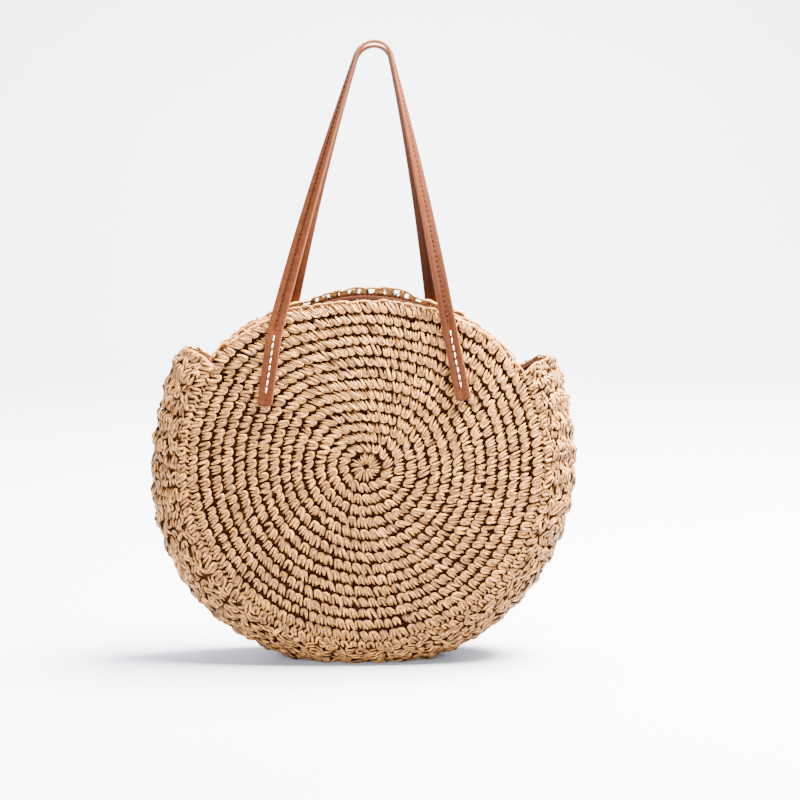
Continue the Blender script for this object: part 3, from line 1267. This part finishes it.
ANCHOR_COUNT = 8
ANCHOR_PITCH = 7.35
ANCHOR_TOP_MARGIN = 4.0
ANCHOR_LENGTH, ANCHOR_HALF, ANCHOR_HIGH, ANCHOR_SLANT = 5.6, 0.70, 0.70, 0.5
SEAM_PITCH = 5.0
SEAM_MARGIN = 3
SEAM_LENGTH, SEAM_HALF, SEAM_HIGH, SEAM_SLANT = 2.8, 0.85, 0.15, 1.6
THREAD_SWELL = np.array([0.55, 0.95, 1.0, 1.0, 0.95, 0.55])
THREAD_DIP = 1.6
THREAD_CLEAR = 3.0


def thread_stitches(line, middle, length, half, high, slant, facing, chance):
    """Stitches on the strap's seam line: short round strands whose ends dip into the leather, as a cube."""
    count = len(middle)
    s = np.linspace(-0.5, 0.5, len(THREAD_SWELL))
    along = s * length * (1 + chance.normal(0, 0.03, (count, 1)))
    across = slant * s + chance.normal(0, 0.08, (count, 1))
    lift = high * (1 - THREAD_DIP * np.abs(2 * s) ** 3)
    size = half * THREAD_SWELL
    field = strand_tube(flat_points(along, across), lift, size, size, np.zeros(count), np.zeros(count))
    base = STRAP_THICKNESS / 2 - SEAM_VALLEY
    place = strap_point(line, middle[:, None, None] + field[..., 0], -field[..., 1], base + field[..., 2])
    place[..., 1] *= facing
    place = place if facing > 0 else place[:, :, ::-1]
    return [(place, field[..., 2] + THREAD_CLEAR)]


def thread_group():
    """Twisted thread: slanting plies from a wave on the strand's UV, and a little colour variation."""
    group, given = new_group("thread_twist", ("Thread", "Hollow"), ("Height",))
    slope = scaled_place(group, (1.0, 1.6, 1.0))
    plies = thread_bands(group, slope, "DIAGONAL", Scale=1.2, Distortion=0.4)
    twist = mixed(group, plies, given["Hollow"], given["Thread"])
    add_node(group, "NodeGroupOutput", Color=twist, Height=plies)
    return group


thread_finish = (thread_group(), 0.7, 0.05, 0.5, 0.0003)
white_thread = grouped_material(
    "white_thread", *thread_finish, Thread=(0.86, 0.82, 0.75), Hollow=(0.62, 0.55, 0.46)
)
tan_thread = grouped_material(
    "tan_thread", *thread_finish, Thread=(0.029, 0.0080, 0.0031), Hollow=(0.015, 0.004, 0.0017)
)
for facing, end in ((1, "front"), (-1, "rear")):
    line = handle_lines[end]
    chance = np.random.default_rng(61 + facing)
    free = line[4] + HINGE_GAP
    down = ANCHOR_TOP_MARGIN + ANCHOR_LENGTH / 2 + np.arange(ANCHOR_COUNT) * ANCHOR_PITCH
    anchor = (ANCHOR_LENGTH, ANCHOR_HALF, ANCHOR_HIGH, ANCHOR_SLANT)
    for side, hand in ((1, "right"), (-1, "left")):
        stitches = thread_stitches(line, side * (free + down), *anchor, facing, chance)
        anchors = put_strands(f"{end}_{hand}_anchor_thread", stitches, chance, turned=True)
        anchors.data.materials.append(white_thread)
        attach(anchors, "bag")
        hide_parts(f"{end}_{hand}_anchor_stitches")
    seam_count = int(2 * (line[4] - SEAM_MARGIN) / SEAM_PITCH)
    places = (np.arange(seam_count) - (seam_count - 1) / 2) * SEAM_PITCH
    stitches = thread_stitches(line, places, SEAM_LENGTH, SEAM_HALF, SEAM_HIGH, SEAM_SLANT, facing, chance)
    seam_thread = put_strands(end + "_handle_seam_stitches", stitches, chance, turned=True)
    seam_thread.data.materials.append(tan_thread)
    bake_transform(seam_thread)
    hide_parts(end + "_handle_seam_thread")
